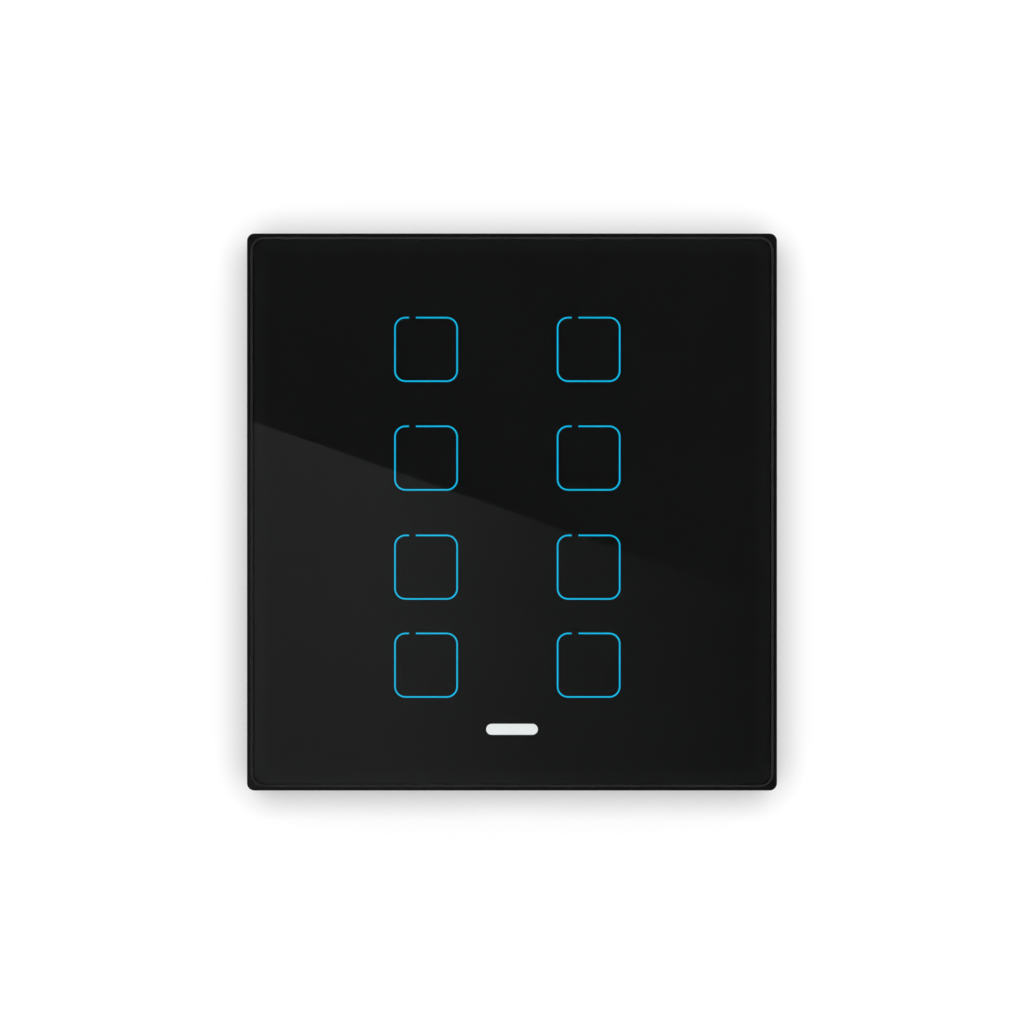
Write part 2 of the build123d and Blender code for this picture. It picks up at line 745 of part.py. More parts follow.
# Wire clamps and terminal screws, pole by pole: the upper block first, from left to right
poles = [(pole_x, side * chamber_z) for side in (1, -1) for pole_x in pole_places]
for number, pole in enumerate(poles, start=1):
    pole_x, pole_z = pole

    # a cage round the contact bar, with the thread in its rear wall
    with BuildPart() as wire_clamp:
        with BuildSketch(level(clamp_rear)):
            with Locations(pole):
                Rectangle(clamp_width, clamp_depth)
        extrude(amount=clamp_front - clamp_rear)
        with BuildSketch(Plane.XY.offset(pole_z)):
            with Locations((pole_x, -(wire_top + clamp_roof_front) / 2)):
                Rectangle(clamp_width - 2 * clamp_side_wall, wire_top - clamp_roof_front)
        extrude(amount=clamp_depth / 2, both=True, mode=Mode.SUBTRACT)
        with BuildSketch(level(clamp_rear)):
            with Locations(pole):
                Circle(terminal_shaft_radius + thread_clearance)
        extrude(amount=clamp_roof, mode=Mode.SUBTRACT)
    wire_clamp.part.label = f"wire_clamp_{number}"
    export_step(wire_clamp.part, f"parts/wire_clamp_{number}.step")

    # a slotted screw that bears on the contact bar and draws the clamp up to its head
    with BuildPart() as terminal_screw:
        with BuildSketch(level(bar_rear - tip_gap)):
            with Locations(pole):
                Circle(terminal_shaft_radius)
        extrude(amount=head_front - bar_rear + tip_gap)
        with BuildSketch(level(head_front)):
            with Locations(pole):
                Circle(terminal_head_radius)
        extrude(amount=-terminal_head_height)
        with BuildSketch(level(head_rear)):
            with Locations(pole):
                Rectangle(2 * terminal_head_radius, terminal_slot_width)
        extrude(amount=terminal_slot_depth, mode=Mode.SUBTRACT)
    terminal_screw.part.label = f"terminal_screw_{number}"
    export_step(terminal_screw.part, f"parts/terminal_screw_{number}.step")
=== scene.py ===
import json
import math

import bmesh
import bpy
from mathutils import Matrix, Vector


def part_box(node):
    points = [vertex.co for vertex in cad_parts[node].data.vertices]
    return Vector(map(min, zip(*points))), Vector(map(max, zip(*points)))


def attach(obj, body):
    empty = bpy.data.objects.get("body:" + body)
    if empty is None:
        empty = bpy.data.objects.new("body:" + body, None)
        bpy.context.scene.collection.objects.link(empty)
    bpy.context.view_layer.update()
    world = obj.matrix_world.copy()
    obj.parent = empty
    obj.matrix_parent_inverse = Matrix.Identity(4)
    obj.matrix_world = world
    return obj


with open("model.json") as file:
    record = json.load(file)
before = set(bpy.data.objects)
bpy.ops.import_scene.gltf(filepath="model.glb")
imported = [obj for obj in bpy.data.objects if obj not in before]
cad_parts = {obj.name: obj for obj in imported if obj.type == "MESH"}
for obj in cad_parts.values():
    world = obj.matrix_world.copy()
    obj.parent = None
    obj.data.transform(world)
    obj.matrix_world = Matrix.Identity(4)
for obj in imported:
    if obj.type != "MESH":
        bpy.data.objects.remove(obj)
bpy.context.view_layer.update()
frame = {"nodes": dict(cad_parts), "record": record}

scene = bpy.context.scene
scene.view_settings.view_transform = "Standard"
mm = 0.001


# A socket of a node tree. Sums, products and comparisons of wires add their Math nodes.
class Wire:
    def __init__(self, tree, socket=None):
        self.tree = tree
        self.socket = socket

    def add(self, kind, settings=None, values=None, out=0):
        node = self.tree.nodes.new(kind)
        for name, setting in (settings or {}).items():
            if name == "stops":
                fillRamp(node.color_ramp, setting)
            else:
                setattr(node, name, setting)
        for name, value in (values or {}).items():
            for one in value if isinstance(value, list) else [value]:  # a list joins several links
                if isinstance(one, Wire):
                    self.tree.links.new(one.socket, node.inputs[name])
                else:
                    node.inputs[name].default_value = one
        if isinstance(out, tuple):
            return [Wire(self.tree, node.outputs[name]) for name in out]
        return Wire(self.tree, node.outputs[out]) if len(node.outputs) else None

    def maths(self, operation, first, second=0.0):
        return self.add("ShaderNodeMath", {"operation": operation}, {0: first, 1: second})

    def __add__(self, other):
        return self.maths("ADD", self, other)

    def __radd__(self, other):
        return self.maths("ADD", other, self)

    def __sub__(self, other):
        return self.maths("SUBTRACT", self, other)

    def __rsub__(self, other):
        return self.maths("SUBTRACT", other, self)

    def __mul__(self, other):
        return self.maths("MULTIPLY", self, other)

    def __rmul__(self, other):
        return self.maths("MULTIPLY", other, self)

    def __truediv__(self, other):
        return self.maths("DIVIDE", self, other)

    def __rtruediv__(self, other):
        return self.maths("DIVIDE", other, self)

    def __gt__(self, other):
        return self.maths("GREATER_THAN", self, other)

    def __lt__(self, other):
        return self.maths("LESS_THAN", self, other)

    def __mod__(self, other):
        return self.maths("FLOORED_MODULO", self, other)

    def __abs__(self):
        return self.maths("ABSOLUTE", self)

    def floor(self):
        return self.maths("FLOOR", self)

    def larger(self, other):
        return self.maths("MAXIMUM", self, other)

    def clamp(self):
        return self.add("ShaderNodeClamp", {}, {"Value": self})


def fillRamp(ramp, stops):
    while len(ramp.elements) < len(stops):
        ramp.elements.new(1.0)
    for element, (place, colour) in zip(ramp.elements, stops):
        element.position = place
        element.color = (*colour, 1.0)


def mixColour(start, factor, first, second):
    values = {0: factor}
    for index, colour in ((6, first), (7, second)):
        values[index] = colour if isinstance(colour, Wire) else (*colour, 1.0)
    return start.add("ShaderNodeMix", {"data_type": "RGBA"}, values, out=2)


# A colour that varies by a share either way as the factor goes from 0 to 1
def varied(start, factor, colour, share):
    return mixColour(start, factor, scaled(colour, 1 - share), scaled(colour, 1 + share))


def greyFrom(level):
    return level.add("ShaderNodeCombineColor", {}, {0: level, 1: level, 2: level})


def pointAt(start, x=0.0, y=0.0, z=0.0):
    return start.add("ShaderNodeCombineXYZ", {}, {0: x, 1: y, 2: z})


def dotOf(start, first, second):
    values = {0: first, 1: second}
    return start.add("ShaderNodeVectorMath", {"operation": "DOT_PRODUCT"}, values, out="Value")


def scaled(colour, factor):
    return tuple(min(1.0, c * factor) for c in colour)


def newFinish(name):
    material = bpy.data.materials.new(name)
    material.use_nodes = True
    material.node_tree.nodes.clear()
    return material, Wire(material.node_tree)


def closeFinish(material, start, values):
    shader = start.add("ShaderNodeBsdfPrincipled", {}, values)
    start.add("ShaderNodeOutputMaterial", {}, {"Surface": shader})
    return material


# Closes a finish of two shaders: the second shows where the mask is 1
def closeMixed(material, start, mask, first, second):
    mixed = start.add("ShaderNodeMixShader", {}, {0: mask, 1: first, 2: second})
    start.add("ShaderNodeOutputMaterial", {}, {"Surface": mixed})
    return material


# Place on the part in millimetres, so that every pattern keeps its real scale
def placeInMm(start):
    place = start.add("ShaderNodeTexCoord", out="Object")
    return start.add("ShaderNodeVectorMath", {"operation": "SCALE"}, {0: place, "Scale": 1 / mm})


def axesOf(vector):
    return vector.add("ShaderNodeSeparateXYZ", {}, {0: vector}, out=("X", "Y", "Z"))


def noise(place, scale, detail=2.0, roughness=0.5):
    values = {"Vector": place, "Scale": scale, "Detail": detail, "Roughness": roughness}
    return place.add("ShaderNodeTexNoise", {}, values, out="Fac")


def bumpFrom(height, distance, under=None):
    values = {"Distance": distance, "Height": height}
    if under:
        values["Normal"] = under
    return height.add("ShaderNodeBump", {}, values)


# Rounded edges: the softened normal, and a mask of where it leaves the flat one
edges = {"samples": 4, "gain": 4.0}


def softEdge(start, radius):
    rounded = start.add("ShaderNodeBevel", {"samples": edges["samples"]}, {"Radius": radius})
    flat = start.add("ShaderNodeNewGeometry", out="Normal")
    same = dotOf(start, rounded, flat)
    return rounded, ((1.0 - same) * edges["gain"]).clamp()


# Camera: square on to the panel, as far away as the photograph's frame asks
view = {"frame": 1024, "panelPixels": 529.9, "lens": 120, "sensor": 36, "edgeSetBack": 0.3 * mm}
panelLow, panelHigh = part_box("panel_frame")
frameWidth = (panelHigh.x - panelLow.x) * view["frame"] / view["panelPixels"]
cameraDistance = frameWidth * view["lens"] / view["sensor"]
cameraY = panelLow.y + view["edgeSetBack"] - cameraDistance

cameraData = bpy.data.cameras.new("frontCamera")
cameraData.lens = view["lens"]
cameraData.sensor_width = view["sensor"]
camera = bpy.data.objects.new("frontCamera", cameraData)
camera.location = (0, cameraY, 0)
camera.rotation_euler = (math.pi / 2, 0, 0)
scene.collection.objects.link(camera)
scene.camera = camera
print("camera", round(cameraDistance, 4), "m in front of the panel's edge")


# A sheet facing the camera, with a window in it where one is given
def flatSheet(name, size, y, window=None):
    mesh = bpy.data.meshes.new(name)
    rings = [(size / 2, size / 2)] + ([window] if window else [])
    corners = ((-1, -1), (1, -1), (1, 1), (-1, 1))
    points = [(x * right, y, z * up) for x, z in rings for right, up in corners]
    faces = [(i, (i + 1) % 4, (i + 1) % 4 + 4, i + 4) for i in range(4)] if window else [(0, 1, 2, 3)]
    mesh.from_pydata(points, [], faces)
    sheet = bpy.data.objects.new(name, mesh)
    scene.collection.objects.link(sheet)
    return sheet


# Wall: white paper behind the panel, open where the base sits in its box. To the camera it glows with painted
# white light, darkened close round the panel by a painted shadow that an ambient occlusion node leans heavier
# below, and it keeps its real wide soft shadow as well. In reflections it shows a painted darker grey. It is
# clear from behind, and to what touches it.
wall = {
    "size": 6.0,
    "setBack": 0.02 * mm,
    "margin": 0.05 * mm,
    "clearWithin": 0.3 * mm,
    "glow": 0.7,
    "white": 0.365,
    "paintedInReflection": 0.26,
    "bounce": 0.85,
    "shadeReach": 6.0 * mm,
    "shade": 0.92,
    "shadeSamples": 4,
    "paintedShadeLean": (0, -1, 0.16),
}


def wallFinish():
    material, start = newFinish("wallPaper")
    rays = ("Is Camera Ray", "Is Glossy Ray", "Is Transmission Ray", "Ray Length")
    seen, glossy, through, length = start.add("ShaderNodeLightPath", out=rays)
    paintedInReflection = glossy.larger(through)  # light that the glass carries out of its edges also sees the painted darker grey of reflections
    bounce = wall["bounce"]
    # painted reflection: glossy and transmission rays see the wall a darker grey than the camera does
    level = bounce + seen * (wall["white"] - bounce) + paintedInReflection * (wall["paintedInReflection"] - bounce)
    paper = start.add("ShaderNodeBsdfDiffuse", {}, {"Color": greyFrom(level)})
    lean = pointAt(start, *Vector(wall["paintedShadeLean"]).normalized())
    values = {"Distance": wall["shadeReach"], "Normal": lean}
    paintedShadeOpen = start.add("ShaderNodeAmbientOcclusion", {"samples": wall["shadeSamples"]}, values, out="AO")
    # painted light and painted shadow: the glow seen by the camera is darkened where the ambient occlusion finds
    # the panel near, more so below it
    glow = seen * wall["glow"] * (1.0 - (1.0 - paintedShadeOpen) * wall["shade"])
    lit = start.add("ShaderNodeEmission", {}, {"Color": greyFrom(glow)})
    front = start.add("ShaderNodeAddShader", {}, {0: paper, 1: lit})
    clear = start.add("ShaderNodeBsdfTransparent")
    back = start.add("ShaderNodeNewGeometry", out="Backfacing").larger(length < wall["clearWithin"])
    return closeMixed(material, start, back, front, clear)


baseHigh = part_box("rear_housing")[1]
window = (baseHigh.x + wall["margin"], baseHigh.z + wall["margin"])
wallSheet = flatSheet("wallSheet", wall["size"], wall["setBack"], window)
wallSheet.data.materials.append(wallFinish())

# Painted reflection: a glowing sheet behind the camera that neither the camera nor diffuse or shadow rays see,
# so it shows only as a painted reflection in the glass, dim above and paler below its slanting edge. It is wide
# enough to keep the glass black from the side, and thins out towards its rim. It is clear to light that the film
# has scattered, so that the whole dome lights the film.
paintedReflection = {
    "size": 4.0,
    "thinFrom": 1.0,
    "thinTo": 2.0,
    "behindCamera": 2 * mm,
    "slope": -0.35,
    "dim": 0.028,
    "pale": 0.155,
    "fullUpTo": -41 * mm,
    "goneBy": 82 * mm,
    "fadeStops": [(0.0, 1.0), (0.42, 0.44), (1.0, 0.0)],
    "loss": 0.25,
    "lossDepth": 100 * mm,
}


def paintedReflectionFinish():
    material, start = newFinish("paintedReflectionCard")
    x, y, z = axesOf(start.add("ShaderNodeTexCoord", out="Object"))
    depth = x * paintedReflection["slope"] - z
    across = (x - paintedReflection["fullUpTo"]) / (paintedReflection["goneBy"] - paintedReflection["fullUpTo"])
    stops = [(place, (level,) * 3) for place, level in paintedReflection["fadeStops"]]
    fade = start.add("ShaderNodeValToRGB", {"stops": stops}, {"Fac": across})
    # the painted reflection's pale part, below the slanting edge, weaker with depth and fading across
    pale = (depth > 0.0) * (1.0 - (depth / paintedReflection["lossDepth"]).clamp() * paintedReflection["loss"]) * paintedReflection["pale"]
    level = paintedReflection["dim"] + fade * pale
    light = start.add("ShaderNodeEmission", {}, {"Color": greyFrom(level)})
    clear = start.add("ShaderNodeBsdfTransparent")
    thin = ((abs(x).larger(abs(z)) - paintedReflection["thinFrom"]) / (paintedReflection["thinTo"] - paintedReflection["thinFrom"])).clamp()
    scattered = start.add("ShaderNodeLightPath", out="Diffuse Depth") > 0.5
    return closeMixed(material, start, thin.larger(scattered), light, clear)


paintedReflectionSheet = flatSheet("paintedReflectionSheet", paintedReflection["size"], cameraY - paintedReflection["behindCamera"])
paintedReflectionSheet.data.materials.append(paintedReflectionFinish())
for ray in ("camera", "diffuse", "shadow", "volume_scatter"):
    setattr(paintedReflectionSheet, "visible_" + ray, False)

# Soft dome: a plain level, a little stronger from above. Behind the wall one side is stronger, to show form.
dome = {"level": 1.0, "lift": 0.15, "backSide": (-0.5, 0.25, 0.65), "backStrength": 1.0, "backTurn": 4.0}


def lightDome():
    world = bpy.data.worlds.new("softDome")
    world.use_nodes = True
    world.node_tree.nodes.clear()
    scene.world = world
    start = Wire(world.node_tree)
    seen = start.add("ShaderNodeLightPath", out="Is Camera Ray")
    direction = start.add("ShaderNodeTexCoord", out="Generated")
    x, y, z = axesOf(direction)
    side = dotOf(start, direction, dome["backSide"])
    behind = (y * dome["backTurn"]).clamp()
    level = dome["level"] + z * dome["lift"] + behind * side * dome["backStrength"]
    level = level + seen * (1.0 - level)
    sky = start.add("ShaderNodeBackground", {}, {"Color": (1, 1, 1, 1), "Strength": level})
    start.add("ShaderNodeOutputWorld", {}, {"Surface": sky})


lightDome()
print("stage set: wall, flag and dome")

# Glass: polished, with faint wiped smudges, and a smoky tint that builds up along its length
glass = {
    "tint": (0.97, 0.985, 0.975),
    "ior": 1.5,
    "smudge": 0.014,
    "smudgeScale": 0.045,
    "smudgeFrom": 0.52,
    "smudgeGain": 4.0,
    "smoke": (0.55, 0.6, 0.58),
    "density": 60.0,
}


def glassFinish():
    material, start = newFinish("clearGlass")
    wiped = (noise(placeInMm(start), glass["smudgeScale"], 4.0) - glass["smudgeFrom"]) * glass["smudgeGain"]
    values = {
        "Base Color": (*glass["tint"], 1.0),
        "Roughness": wiped.clamp() * glass["smudge"],
        "IOR": glass["ior"],
        "Transmission Weight": 1.0,
    }
    surface = start.add("ShaderNodeBsdfPrincipled", {}, values)
    values = {"Color": (*glass["smoke"], 1.0), "Density": glass["density"]}
    smoke = start.add("ShaderNodeVolumeAbsorption", {}, values)
    start.add("ShaderNodeOutputMaterial", {}, {"Surface": surface, "Volume": smoke})
    return material


# Black film behind the glass, a shade paler in a narrow border
film = {
    "colour": (0.0093, 0.0092, 0.0096),
    "mottle": 0.1,
    "mottleScale": 0.08,
    "border": 0.9,
    "borderStart": (39.3, 41.5),
    "borderWidth": 2.6,
    "rough": 0.6,
    "roughSpread": 0.2,
    "roughScale": 2.0,
    "specular": 0.15,
}


def filmFinish():
    material, start = newFinish("blackFilm")
    place = placeInMm(start)
    x, y, z = axesOf(place)
    startX, startZ = film["borderStart"]
    border = ((abs(x) - startX).larger(abs(z) - startZ) / film["borderWidth"]).clamp()
    colour = varied(start, noise(place, film["mottleScale"], 3.0), film["colour"], film["mottle"])
    values = {
        "Base Color": mixColour(start, border, colour, scaled(film["colour"], 1 + film["border"])),
        "Roughness": film["rough"] + (noise(place, film["roughScale"]) - 0.5) * film["roughSpread"],
        "Specular IOR Level": film["specular"],
    }
    return closeFinish(material, start, values)


# Lit light guides: milky plastic, a touch uneven as the lamps behind are
milky = {"rough": 0.35, "roughSpread": 0.2, "roughScale": 3.0, "unevenScale": 0.35}
keyLight = {"glow": (0.0, 0.56, 0.9), "body": (0.0, 0.02, 0.03), "unevenness": 0.06}
statusLight = {"glow": (0.93, 0.95, 0.97), "body": (0.03, 0.03, 0.03), "unevenness": 0.05}


def litFinish(name, lit):
    material, start = newFinish(name)
    place = placeInMm(start)
    values = {
        "Base Color": (*lit["body"], 1.0),
        "Roughness": milky["rough"] + noise(place, milky["roughScale"]) * milky["roughSpread"],
        "Emission Color": varied(start, noise(place, milky["unevenScale"], 1.0), lit["glow"], lit["unevenness"]),
        "Emission Strength": 1.0,
    }
    return closeFinish(material, start, values)


# Moulded plastics: a fine eroded grain, cloudy in colour and gloss, with edges that are rounded where a radius
# is given and painted paler there, partly as worn plastic and partly as a painted highlight (sizes in mm, grain
# in spots per mm)
mouldings = {
    "frame_plastic": {
        "colour": (0.0065, 0.0065, 0.0069), "grain": 4.0, "depth": 0.003, "rough": 0.5, "specular": 0.02,
    },
    "housing_plastic": {
        "colour": (0.05, 0.052, 0.056), "grain": 2.2, "depth": 0.09, "rough": 0.5, "specular": 0.4, "edge": 0.3,
    },
    "connector_black": {
        "colour": (0.012, 0.012, 0.012), "grain": 6.0, "depth": 0.008, "rough": 0.38, "specular": 0.4,
    },
    "chip_black": {
        "colour": (0.015, 0.015, 0.016), "grain": 9.0, "depth": 0.01, "rough": 0.55, "specular": 0.4,
    },
    "relay_blue": {
        "colour": (0.015, 0.1, 0.42), "grain": 4.0, "depth": 0.008, "rough": 0.3, "specular": 0.5, "edge": 0.35,
    },
    "fuse_body": {
        "colour": (0.06, 0.03, 0.02), "grain": 5.0, "depth": 0.008, "rough": 0.35, "specular": 0.5,
    },
    "terminal_green": {
        "colour": (0.02, 0.22, 0.09), "grain": 4.0, "depth": 0.012, "rough": 0.4, "specular": 0.5, "edge": 0.25,
    },
    "varistor_coat": {
        "colour": (0.03, 0.14, 0.35), "grain": 1.2, "depth": 0.04, "rough": 0.22, "specular": 0.5,
    },
    "led_body": {
        "colour": (0.85, 0.82, 0.6), "grain": 6.0, "depth": 0.006, "rough": 0.3, "specular": 0.5,
    },
    "sensor_foam": {
        "colour": (0.05, 0.05, 0.055), "grain": 3.2, "depth": 0.12, "rough": 0.85, "specular": 0.2,
    },
}


wearAndHighlight = {
    "cloudScale": 0.11,
    "cloudTint": 0.1,
    "cloudRough": 0.16,
    "grainRough": 0.1,
    "wornAndHighlitShare": 0.7,
    "wornAndHighlitTint": 1.9,
    "rubbedRough": 0.14,
}


def mouldedValues(start, place, look):
    cloud = noise(place, wearAndHighlight["cloudScale"], 3.0)
    grain = noise(place, look["grain"], 3.0, 0.6)
    colour = varied(start, cloud, look["colour"], wearAndHighlight["cloudTint"])
    rough = look["rough"] + (cloud - 0.5) * wearAndHighlight["cloudRough"] + (grain - 0.5) * wearAndHighlight["grainRough"]
    rounded = None
    if "edge" in look:
        rounded, wornAndHighlit = softEdge(start, look["edge"] * mm)
        # painted highlight, partly worn plastic: the rounded edges are painted paler and smoother
        paler = scaled(look["colour"], wearAndHighlight["wornAndHighlitTint"])
        colour = mixColour(start, wornAndHighlit * wearAndHighlight["wornAndHighlitShare"], colour, paler)
        rough = rough - wornAndHighlit * wearAndHighlight["rubbedRough"]
    return {
        "Base Color": colour,
        "Roughness": rough.clamp(),
        "Specular IOR Level": look["specular"],
        "Normal": bumpFrom(grain, look["depth"] * mm, rounded),
    }


def mouldedFinish(name):
    material, start = newFinish(name)
    return closeFinish(material, start, mouldedValues(start, placeInMm(start), mouldings[name]))


# Frame: the same plastic with satin sides and a polished lip. The small bevel between them is dull.
satin = {"below": 8.9, "fade": 0.5, "weight": 0.8, "rough": 0.2, "lipRough": 0.03, "lipFacing": -0.95}


def frameFinish():
    material, start = newFinish("frameSatin")
    place = placeInMm(start)
    values = mouldedValues(start, place, mouldings["frame_plastic"])
    sides = ((axesOf(place)[1] + satin["below"]) / satin["fade"]).clamp()
    flat = axesOf(start.add("ShaderNodeNewGeometry", out="True Normal"))[1] < satin["lipFacing"]
    shaders = []
    for weight, rough in ((sides * satin["weight"], satin["rough"]), (1.0, satin["lipRough"])):
        coat = {"Coat Weight": weight, "Coat Roughness": rough}
        shaders.append(start.add("ShaderNodeBsdfPrincipled", {}, {**values, **coat}))
    return closeMixed(material, start, flat, *shaders)


# Sheet metals: drawn along one way, with dull patches in the plating
metals = {
    "shield_metal": {"colour": (0.62, 0.63, 0.65), "along": (0.6, 6.0, 9.0), "rough": 0.32},
    "screw_steel": {"colour": (0.6, 0.6, 0.6), "along": (5.0, 5.0, 5.0), "rough": 0.28},
    "clamp_steel": {"colour": (0.55, 0.56, 0.57), "along": (5.0, 0.8, 5.0), "rough": 0.34},
    "contact_brass": {"colour": (0.72, 0.55, 0.26), "along": (5.0, 5.0, 0.8), "rough": 0.3},
    "pin_gold": {"colour": (0.83, 0.58, 0.2), "along": (6.0, 0.8, 6.0), "rough": 0.22},
    "can_top": {"colour": (0.78, 0.79, 0.8), "along": (3.0, 3.0, 3.0), "rough": 0.35},
}


plating = {
    "patchScale": 0.4,
    "dull": 0.88,
    "bright": 1.06,
    "streakRough": 0.22,
    "patchRough": 0.12,
    "relief": 0.006 * mm,
}


def metalValues(start, place, look):
    stretched = start.add("ShaderNodeMapping", {}, {"Vector": place, "Scale": look["along"]})
    streak = noise(stretched, 1.0, 3.0)
    patch = noise(place, plating["patchScale"], 2.0)
    dull, bright = scaled(look["colour"], plating["dull"]), scaled(look["colour"], plating["bright"])
    uneven = (streak - 0.5) * plating["streakRough"] + (patch - 0.5) * plating["patchRough"]
    return {
        "Base Color": mixColour(start, patch, dull, bright),
        "Metallic": 1.0,
        "Roughness": (look["rough"] + uneven).clamp(),
        "Normal": bumpFrom(streak, plating["relief"]),
    }


def metalFinish(name):
    material, start = newFinish(name)
    return closeFinish(material, start, metalValues(start, placeInMm(start), metals[name]))


# One part in two finishes: the second shows where the mask is 1
def twoFinishes(name, first, second, maskAt):
    material, start = newFinish(name)
    place = placeInMm(start)
    mask = maskAt(start, place)
    shaders = []
    for look in (first, second):
        kind = metalValues if "along" in look else mouldedValues
        shaders.append(start.add("ShaderNodeBsdfPrincipled", {}, kind(start, place, look)))
    return closeMixed(material, start, mask, *shaders)


# Circuit boards: green lacquer over copper tracks that change direction from field to field
board = {
    "lacquer": (0.008, 0.085, 0.036),
    "track": (0.018, 0.15, 0.062),
    "via": (0.55, 0.53, 0.48),
    "field": 5.0,
    "pitch": 0.9,
    "trackShare": 0.38,
    "viaPitch": 1.8,
    "viaRadius": 0.22,
    "viaShare": 0.28,
    "viaMetal": 0.9,
    "rough": 0.3,
    "roughSpread": 0.14,
    "roughScale": 1.5,
    "viaRough": 0.05,
    "relief": 0.03 * mm,
}


def randomAt(cell):
    return cell.add("ShaderNodeTexWhiteNoise", {"noise_dimensions": "2D"}, {"Vector": cell})


def boardValues(start, place):
    x, y, z = axesOf(place)
    cell = pointAt(start, (x / board["field"]).floor(), (z / board["field"]).floor())
    turned = randomAt(cell) > 0.5
    across = (x / board["pitch"]) % 1.0 < board["trackShare"]
    along = (z / board["pitch"]) % 1.0 < board["trackShare"]
    track = across + turned * (along - across)
    spotX, spotZ = x / board["viaPitch"], z / board["viaPitch"]
    offX, offZ = spotX % 1.0 - 0.5, spotZ % 1.0 - 0.5
    spot = pointAt(start, spotX.floor(), spotZ.floor())
    picked = randomAt(spot) < board["viaShare"]
    via = (offX * offX + offZ * offZ < (board["viaRadius"] / board["viaPitch"]) ** 2) * picked
    lacquer = mixColour(start, track, board["lacquer"], board["track"])
    uneven = (noise(place, board["roughScale"]) - 0.5) * board["roughSpread"]
    return {
        "Base Color": mixColour(start, via, lacquer, board["via"]),
        "Metallic": via * board["viaMetal"],
        "Roughness": board["rough"] + uneven - via * board["viaRough"],
        "Normal": bumpFrom(track + via, board["relief"]),
    }


def boardFinish():
    material, start = newFinish("greenBoard")
    return closeFinish(material, start, boardValues(start, placeInMm(start)))


# Radio: a tinned can with punched holes on its own small board; the holes are flat black spots of painted shade
# on the can's top
radio = {"board": 0.8, "holePitch": 2.4, "holeRadius": 0.4, "paintedHoleShade": (0.01, 0.01, 0.01)}


def radioFinish():
    material, start = newFinish("radioCan")
    place = placeInMm(start)
    x, y, z = axesOf(place)
    low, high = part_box("radio_module")
    onCan = y > low.y / mm + radio["board"] + 0.02
    onTop = y > high.y / mm - 0.05
    offX, offZ = (x / radio["holePitch"]) % 1.0 - 0.5, (z / radio["holePitch"]) % 1.0 - 0.5
    paintedHoleSpot = (offX * offX + offZ * offZ < (radio["holeRadius"] / radio["holePitch"]) ** 2) * onTop
    values = metalValues(start, place, metals["shield_metal"])
    # painted shade: the holes are black, not metal, where an opening would show the dark inside
    values["Base Color"] = mixColour(start, paintedHoleSpot, values["Base Color"], radio["paintedHoleShade"])
    values["Metallic"] = 1.0 - paintedHoleSpot
    can = start.add("ShaderNodeBsdfPrincipled", {}, values)
    base = start.add("ShaderNodeBsdfPrincipled", {}, boardValues(start, place))
    return closeMixed(material, start, onCan, base, can)


# Pins are gold in front of the header's body
header = {"bodyFront": 0.48}


def pinsOf(start, place):
    return axesOf(place)[1] < header["bodyFront"]


# Yellow tape shows on the winding, above and below the core's band
transformer = {
    "coreBand": 5.0,
    "core": {"colour": (0.05, 0.05, 0.052), "grain": 5.0, "depth": 0.02, "rough": 0.6, "specular": 0.4},
    "tape": {"colour": (0.62, 0.42, 0.03), "grain": 1.5, "depth": 0.01, "rough": 0.35, "specular": 0.5},
}


def tapeOf(start, place):
    low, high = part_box("supply_transformer")
    middle = (low.z + high.z) / 2 / mm
    return abs(axesOf(place)[2] - middle) > transformer["coreBand"] / 2


# The bare can shows at the end of the sleeve
capacitor = {
    "sleeveEnd": 0.15,
    "sleeve": {"colour": (0.02, 0.02, 0.05), "grain": 3.0, "depth": 0.004, "rough": 0.2, "specular": 0.5},
}


def sleeveEnd(start, place):
    return axesOf(place)[1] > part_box("smoothing_capacitor")[1].y / mm - capacitor["sleeveEnd"]


finishes = {slot: mouldedFinish(slot) for slot in mouldings}
finishes.update({slot: metalFinish(slot) for slot in metals})
finishes.update({
    "panel_glass": glassFinish(),
    "frame_plastic": frameFinish(),
    "mask_film": filmFinish(),
    "key_light": litFinish("keyLightGuide", keyLight),
    "status_light": litFinish("statusLightGuide", statusLight),
    "board_green": boardFinish(),
    "ferrite": twoFinishes("tapedWinding", transformer["core"], transformer["tape"], tapeOf),
    "capacitor_sleeve": twoFinishes("sleevedCan", capacitor["sleeve"], metals["can_top"], sleeveEnd),
})
ownFinish = {
    "radio_module": radioFinish(),
    "pin_header": twoFinishes("goldPins", mouldings["connector_black"], metals["pin_gold"], pinsOf),
}
for part in frame["record"]["subparts"]:
    for holder in frame["nodes"][part["node"]].material_slots:
        holder.material = ownFinish.get(part["node"], finishes[part["material_slot"]])


# A Geometry Nodes tree with one named input for each size
def newTree(name, sizes):
    tree = bpy.data.node_groups.new(name, "GeometryNodeTree")
    for label, size in sizes.items():
        kind = "NodeSocketInt" if isinstance(size, int) else "NodeSocketFloat"
        tree.interface.new_socket(label, in_out="INPUT", socket_type=kind)
    tree.interface.new_socket("Piece", in_out="OUTPUT", socket_type="NodeSocketGeometry")
    start = Wire(tree)
    return tree, start, dict(zip(sizes, start.add("NodeGroupInput", out=tuple(sizes))))


def closeTree(start, shape, material):
    real = start.add("GeometryNodeRealizeInstances", {}, {0: shape})
    painted = start.add("GeometryNodeSetMaterial", {}, {"Geometry": real, "Material": material})
    start.add("NodeGroupOutput", {}, {0: painted})


# Turns what a tree makes, flat with +Z up, to stand on a board's back, and puts it in its place
def onBoard(start, shape, x, level, z):
    values = {
        "Geometry": shape,
        "Translation": pointAt(start, x, level, z),
        "Rotation": (-math.pi / 2, 0, 0),
    }
    return start.add("GeometryNodeTransform", {}, values)


def raised(start, shape, height, along=0.0):
    values = {"Geometry": shape, "Translation": pointAt(start, along, 0.0, height)}
    return start.add("GeometryNodeTransform", {}, values)


